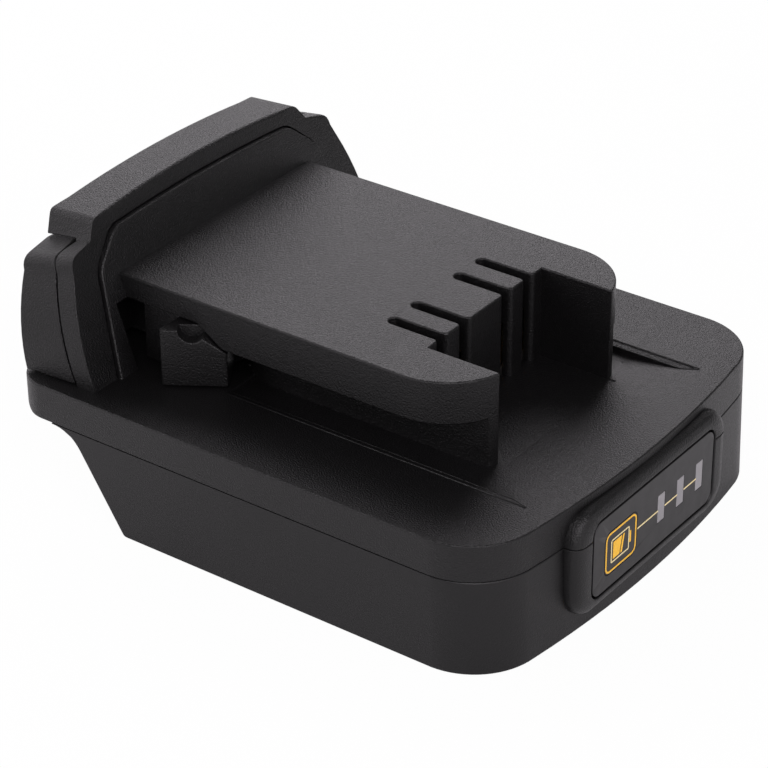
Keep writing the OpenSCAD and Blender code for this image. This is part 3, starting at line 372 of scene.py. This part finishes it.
def tile_flats(bm):
    """Split each many-sided face into triangles that stay inside its outline."""
    for face in [f for f in bm.faces if len(f.verts) > 4]:
        corners = list(face.verts)
        origin, along = face.calc_center_median(), face.calc_tangent_edge()
        across = face.normal.cross(along)
        flat = [Vector(((c.co - origin).dot(along), (c.co - origin).dot(across))) for c in corners]
        spots, _, tiles, sources, _, _ = delaunay_2d_cdt(flat, [], [range(len(flat))], 1, TILE_WELD)
        points = []
        for spot, source in zip(spots, sources):
            place = origin + along * spot.x + across * spot.y
            points.append(corners[source[0]] if source else bm.verts.new(place))
        smooth = face.smooth
        bm.faces.remove(face)
        for tile in tiles:
            if bm.faces.get([points[i] for i in tile]) is None:
                bm.faces.new([points[i] for i in tile]).smooth = smooth


def bevelled(piece):
    """The piece's mesh with its bevel made and its flats tiled."""
    made = piece.evaluated_get(bpy.context.evaluated_depsgraph_get())
    bm = bmesh.new()
    bm.from_mesh(made.to_mesh())
    bm.normal_update()
    tile_flats(bm)
    bm.normal_update()
    return bm


def bevel_faults(bm, solid, width):
    """Corners of the faces with which a bevelled piece strays from its solid or folds over."""
    places = []
    for face in bm.faces:
        _, normal, _, away = solid.find_nearest(face.calc_center_median())
        if face.calc_area() > SPECK and (away > STRAY * width or face.normal.dot(normal) < FOLDED):
            places += [v.co.copy() for v in face.verts]
    return places


def ease_edges(mesh, places, width):
    """Halve, then take off, the bevel of the edges near the given places; says how many those were."""
    weight = mesh.attributes["bevel_weight_edge"].data
    eased = 0
    for edge in mesh.edges:
        if weight[edge.index].value > 0:
            first, last = (mesh.vertices[i].co for i in edge.vertices)
            for place in places:
                share = intersect_point_line(place, first, last)[1]
                foot = first.lerp(last, min(max(share, 0), 1))
                if (place - foot).length < NEAR_FAULT * width:
                    half = weight[edge.index].value / 2
                    weight[edge.index].value = half if half > LEAST_WEIGHT else 0
                    edge.use_edge_sharp = half <= LEAST_WEIGHT
                    eased += 1
                    break
    return eased


def sound_bevel(piece, solid, width):
    """The piece's mesh with its edges rounded, less so where a rounding goes wrong."""
    bevel = piece.modifiers.new("edges", "BEVEL")
    bevel.width = width
    bevel.segments = BEVEL_SEGMENTS
    bevel.limit_method = "WEIGHT"
    bevel.use_clamp_overlap = False
    bevel.loop_slide = False
    for _ in range(EASE_ROUNDS):
        bm = bevelled(piece)
        places = bevel_faults(bm, solid, width)
        if not places or not ease_edges(piece.data, places, width):
            break
        piece.data.update()
    piece.modifiers.clear()
    return bm


def add_skin(node, plain_mm, top_mm, materials):
    """A copy of a CAD node with its sharp edges rounded, which stands for that node."""
    width = top_mm * MM
    bm = bmesh.new()
    bm.from_mesh(frame["nodes"][node].data)
    bmesh.ops.remove_doubles(bm, verts=bm.verts, dist=WELD)
    solid = BVHTree.FromBMesh(bm)
    bmesh.ops.dissolve_limit(bm, angle_limit=FLAT, verts=bm.verts, edges=bm.edges)
    for face in bm.faces:
        face.smooth = True
    weigh_edges(bm, width, plain_mm / top_mm)
    mesh = bpy.data.meshes.new(node + "_skin")
    bm.to_mesh(mesh)
    bm.free()
    if "custom_normal" in mesh.attributes:
        mesh.attributes.remove(mesh.attributes["custom_normal"])
    slot = node_slot[node]
    piece = riding_piece(node + "_skin", mesh, node_body[node], materials[slot])
    bm = sound_bevel(piece, solid, width)
    low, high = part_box(node)
    for vert in bm.verts:
        vert.co = Vector(min(max(c, a), b) for c, a, b in zip(vert.co, low, high))
    bm.to_mesh(mesh)
    bm.free()
    creases = piece.modifiers.new("creases", "EDGE_SPLIT")
    creases.split_angle = CREASE
    piece.modifiers.new("normals", "WEIGHTED_NORMAL")
    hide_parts(node)


# How wide the outer nodes' edges are rounded, and where those round the top are wider
EDGES_MM = {
    "upper_shell": 0.3,
    "lower_shell": 0.3,
    "head_cover": 0.22,
    "latch_left": 0.2,
    "latch_right": 0.2,
    "gauge_panel": 0.08,
    "gauge_button": 0.12,
    "light_guide": 0.08,
}
TOP_EDGES_MM = {"head_cover": 0.6}


def add_skins(materials):
    for node, width in EDGES_MM.items():
        add_skin(node, width, TOP_EDGES_MM.get(node, width), materials)


# Each spring's latch, and the side of the part that it is on
SPRUNG = {"latch_spring_left": ("left_latch", -1), "latch_spring_right": ("right_latch", 1)}


def dress_inner_nodes(materials):
    for node, piece in frame["nodes"].items():
        if node not in EDGES_MM and node not in SPRUNG:
            set_material(piece, materials[node_slot[node]])


def add_springs(materials):
    """A still copy of each spring in its own material, which stands for the spring's node."""
    for node, (latch, side) in SPRUNG.items():
        mesh = frame["nodes"][node].data.copy()
        slot = node_slot[node]
        piece = new_piece(node + "_coil", mesh, materials[slot])
        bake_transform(piece)
        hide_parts(node)


# The gauge's print, laid on the face of the panel and of its key
INK_T = 0.03 * MM
LEAST_R = 0.05 * MM
KEY_FLANGE = 0.8 * MM
KEY_LINE = 0.3 * MM
KEY_INSET = 0.2 * MM
KEY_R = 1.2 * MM
CELL_W = 5.0 * MM
CELL_H = 4.1 * MM
CELL_R = 0.3 * MM
CELL_LINE = 0.22 * MM
CELL_GAP = 0.35 * MM
CELL_SHIFT = -0.25 * MM
NUB_W = 0.4 * MM
NUB_H = 2.0 * MM
NUB_GAP = 0.1 * MM
FILL_W = 1.75 * MM
FILL_SLANT = 0.65 * MM
STROKE_W = 0.42 * MM
STROKE_GAP = 0.3 * MM
LIGHT_BARS = 3
LIGHT_BAR_W = 1.9 * MM
LIGHT_BAR_PITCH = 5.5 * MM
TRACE_H = 0.24 * MM
TRACE_Z = 11.55 * MM
TRACE_GAP = 0.1 * MM


def print_piece(name, outlines, x, body, material):
    """Flat shapes in Y and Z, given in metres, raised a hair above the plane at x."""
    mesh = bpy.data.meshes.new(name)
    bm = bmesh.new()
    for outline in outlines:
        low = [bm.verts.new((x, y, z)) for y, z in outline]
        high = [bm.verts.new((x + INK_T, y, z)) for y, z in outline]
        bm.faces.new(high)
        bm.faces.new(low[::-1])
        for i in range(len(outline)):
            j = (i + 1) % len(outline)
            bm.faces.new((low[i], low[j], high[j], high[i]))
    bm.to_mesh(mesh)
    bm.free()
    riding_piece(name, mesh, body, material)


def rounded(centre, w, h, r, steps=6):
    """Points round a rectangle with round corners, anticlockwise from its lower right corner."""
    points = []
    for k, (sy, sz) in enumerate(((1, -1), (1, 1), (-1, 1), (-1, -1))):
        start = math.radians(-90 + 90 * k)
        for i in range(steps + 1):
            a = start + math.pi / 2 * i / steps
            points.append((centre[0] + sy * (w / 2 - r) + r * math.cos(a),
                           centre[1] + sz * (h / 2 - r) + r * math.sin(a)))
    return points


def ring(centre, w, h, r, line):
    """The frame between a round-cornered rectangle and the one a line's width inside it."""
    outer = rounded(centre, w, h, r)
    inner = rounded(centre, w - 2 * line, h - 2 * line, max(r - line, LEAST_R))
    quads = []
    for i in range(len(outer)):
        j = (i + 1) % len(outer)
        quads.append((outer[i], outer[j], inner[j], inner[i]))
    return quads


def bar(y0, y1, z0, z1, slant=0.0):
    """A bar whose top leans over by slant."""
    return [(y0, z0), (y1, z0), (y1 + slant, z1), (y0 + slant, z1)]


def add_key_print(centre, key_w, key_h, face, materials):
    """An outline round the key, and in it a battery pictogram."""
    outline = ring(centre, key_w - 2 * KEY_INSET, key_h - 2 * KEY_INSET, KEY_R, KEY_LINE)
    print_piece("key_outline", outline, face, "gauge_key", materials["orange_ink"])
    cell = (centre[0] + CELL_SHIFT, centre[1])
    outline = ring(cell, CELL_W, CELL_H, CELL_R, CELL_LINE)
    print_piece("cell_outline", outline, face, "gauge_key", materials["pale_ink"])
    left = cell[0] - CELL_W / 2 + CELL_LINE + CELL_GAP
    low = cell[1] - CELL_H / 2 + CELL_LINE + CELL_GAP
    high = cell[1] + CELL_H / 2 - CELL_LINE - CELL_GAP
    fill = [(left, low), (left + FILL_W, low), (left + FILL_W + FILL_SLANT, high), (left, high)]
    stroke_y = left + FILL_W + STROKE_GAP
    stroke = bar(stroke_y, stroke_y + STROKE_W, low, high, FILL_SLANT)
    nub_y = cell[0] + CELL_W / 2 + NUB_GAP
    nub = bar(nub_y, nub_y + NUB_W, cell[1] - NUB_H / 2, cell[1] + NUB_H / 2)
    print_piece("cell_charge", [fill, stroke, nub], face, "gauge_key", materials["orange_ink"])


def add_gauge_print(materials):
    """The key's print, and a trace that runs from the key through the light bars."""
    key_low, key_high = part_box("gauge_button")
    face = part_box("gauge_panel")[1].x
    guide_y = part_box("light_guide")[0].y
    centre = ((key_low.y + key_high.y) / 2, (key_low.z + key_high.z) / 2)
    key_w = key_high.y - key_low.y - 2 * KEY_FLANGE
    key_h = key_high.z - key_low.z - 2 * KEY_FLANGE
    add_key_print(centre, key_w, key_h, face, materials)
    lengths = []
    start = centre[0] + key_w / 2 + TRACE_GAP
    for i in range(LIGHT_BARS):
        light = guide_y + i * LIGHT_BAR_PITCH
        lengths.append(bar(start, light, TRACE_Z - TRACE_H / 2, TRACE_Z + TRACE_H / 2))
        start = light + LIGHT_BAR_W
    print_piece("trace", lengths, face, "housing", materials["pale_ink"])


# Fine ridges along the edges of the trough beside the tower
RIDGE_R = 0.14 * MM
RIDGE_SIDES = 8
RIDGE_PATHS_MM = (
    ((-14.6, 24.2, 22.1), (40.3, 24.2, 22.1)),
    ((-14.6, 23.0, 21.8), (37.5, 23.0, 21.8), (40.3, 24.15, 22.1)),
)


def add_ridge(bm, path):
    """A thin round bead swept along the path."""
    angles = [2 * math.pi * k / RIDGE_SIDES for k in range(RIDGE_SIDES)]
    spokes = [RIDGE_R * Vector((0, math.cos(a), math.sin(a))) for a in angles]
    rings = [[bm.verts.new(place + spoke) for spoke in spokes] for place in path]
    for first, second in zip(rings, rings[1:]):
        for k in range(RIDGE_SIDES):
            m = (k + 1) % RIDGE_SIDES
            bm.faces.new((first[k], first[m], second[m], second[k])).smooth = True
    bm.faces.new(rings[0])
    bm.faces.new(rings[-1][::-1])


def add_trough_ridges(materials):
    bm = bmesh.new()
    for side in (-1, 1):
        for path in RIDGE_PATHS_MM:
            add_ridge(bm, [Vector((x, side * y, z)) * MM for x, y, z in path])
    bmesh.ops.recalc_face_normals(bm, faces=bm.faces)
    mesh = bpy.data.meshes.new("trough_ridges")
    bm.to_mesh(mesh)
    bm.free()
    slot = node_slot["upper_shell"]
    riding_piece("trough_ridges", mesh, "housing", materials[slot])


# Stage and light
FLOOR_HALF = 3.0
FLOOR_DROP = 0.05 * MM  # keeps the floor clear of the part's underside
FLOOR_GREY = (0.85, 0.85, 0.85, 1)
FLOOR_WHITE = 0.965  # how far the floor is plain white to the camera; the rest shows the shadow
FLOOR_SHEEN = 0.08  # how far it is white in reflections
WORLD_LIGHT = 0.17
WORLD_SHEEN = 0.19


def mirror_rays(tree):
    """1 for the rays that show surroundings in reflections and through glass."""
    path = tree.nodes.new("ShaderNodeLightPath")
    either = tree.nodes.new("ShaderNodeMath")
    either.operation = "MAXIMUM"
    tree.links.new(path.outputs["Is Glossy Ray"], either.inputs[0])
    tree.links.new(path.outputs["Is Transmission Ray"], either.inputs[1])
    return either.outputs["Value"]


def camera_rays(tree):
    return tree.nodes.new("ShaderNodeLightPath").outputs["Is Camera Ray"]


def scaled(tree, value, factor):
    product = tree.nodes.new("ShaderNodeMath")
    product.operation = "MULTIPLY"
    product.inputs[1].default_value = factor
    tree.links.new(value, product.inputs[0])
    return product.outputs["Value"]


def mixed(tree, factor, first, second):
    mix = tree.nodes.new("ShaderNodeMixShader")
    tree.links.new(factor, mix.inputs["Fac"])
    tree.links.new(first, mix.inputs[1])
    tree.links.new(second, mix.inputs[2])
    return mix.outputs["Shader"]


def add_stage():
    mesh = bpy.data.meshes.new("floor")
    bm = bmesh.new()
    bmesh.ops.create_grid(bm, x_segments=1, y_segments=1, size=FLOOR_HALF)
    bm.to_mesh(mesh)
    bm.free()
    floor = bpy.data.objects.new("floor", mesh)
    scene.collection.objects.link(floor)
    floor.location.z = -FLOOR_DROP
    material = bpy.data.materials.new("floor")
    material.use_nodes = True
    tree = material.node_tree
    tree.nodes.clear()
    output = tree.nodes.new("ShaderNodeOutputMaterial")
    diffuse = tree.nodes.new("ShaderNodeBsdfDiffuse")
    diffuse.inputs["Color"].default_value = FLOOR_GREY
    glow = tree.nodes.new("ShaderNodeEmission")
    glow.inputs["Color"].default_value = WHITE
    glow.inputs["Strength"].default_value = 1
    white = glow.outputs["Emission"]
    in_mirror = mixed(tree, scaled(tree, mirror_rays(tree), FLOOR_SHEEN), diffuse.outputs["BSDF"], white)
    seen = mixed(tree, scaled(tree, camera_rays(tree), FLOOR_WHITE), in_mirror, white)
    tree.links.new(seen, output.inputs["Surface"])
    floor.data.materials.append(material)


def add_world():
    """White to the camera, and dimmer where it lights the part or shows in reflections."""
    world = bpy.data.worlds.new("studio")
    scene.world = world
    world.use_nodes = True
    tree = world.node_tree
    tree.nodes.clear()
    output = tree.nodes.new("ShaderNodeOutputWorld")
    levels = []
    for strength in (WORLD_LIGHT, WORLD_SHEEN, 1):
        background = tree.nodes.new("ShaderNodeBackground")
        background.inputs["Color"].default_value = WHITE
        background.inputs["Strength"].default_value = strength
        levels.append(background.outputs["Background"])
    in_mirror = mixed(tree, mirror_rays(tree), levels[0], levels[1])
    seen = mixed(tree, camera_rays(tree), in_mirror, levels[2])
    tree.links.new(seen, output.inputs["Surface"])


LAMP_TINT = (1.0, 0.95, 1.0)
AIM = Vector((0, 0, 25)) * MM

# Place in mm, width and height in mm, and power in watts
SOFTBOXES = {
    "back_box": ((-330, 450, 360), (600, 450), 2.2),
    "front_box": ((330, -450, 520), (500, 400), 3.6),
    "left_box": ((-650, -50, 300), (500, 400), 1.6),
    "left_front_box": ((-400, -550, 300), (500, 400), 1.25),
    "right_box": ((600, 100, 300), (500, 400), 0.5),
    "right_front_box": ((620, -200, 330), (500, 400), 1.0),
}


def add_lights():
    for name, (place_mm, size_mm, power) in SOFTBOXES.items():
        data = bpy.data.lights.new(name, "AREA")
        data.shape = "RECTANGLE"
        data.size, data.size_y = size_mm[0] * MM, size_mm[1] * MM
        data.energy = power
        data.color = LAMP_TINT
        lamp = bpy.data.objects.new(name, data)
        scene.collection.objects.link(lamp)
        lamp.location = Vector(place_mm) * MM
        lamp.rotation_mode = "QUATERNION"
        lamp.rotation_quaternion = (AIM - lamp.location).to_track_quat("-Z", "Y")


add_camera()
materials = make_materials()
add_skins(materials)
dress_inner_nodes(materials)
add_springs(materials)
add_gauge_print(materials)
add_trough_ridges(materials)
add_stage()
add_world()
add_lights()
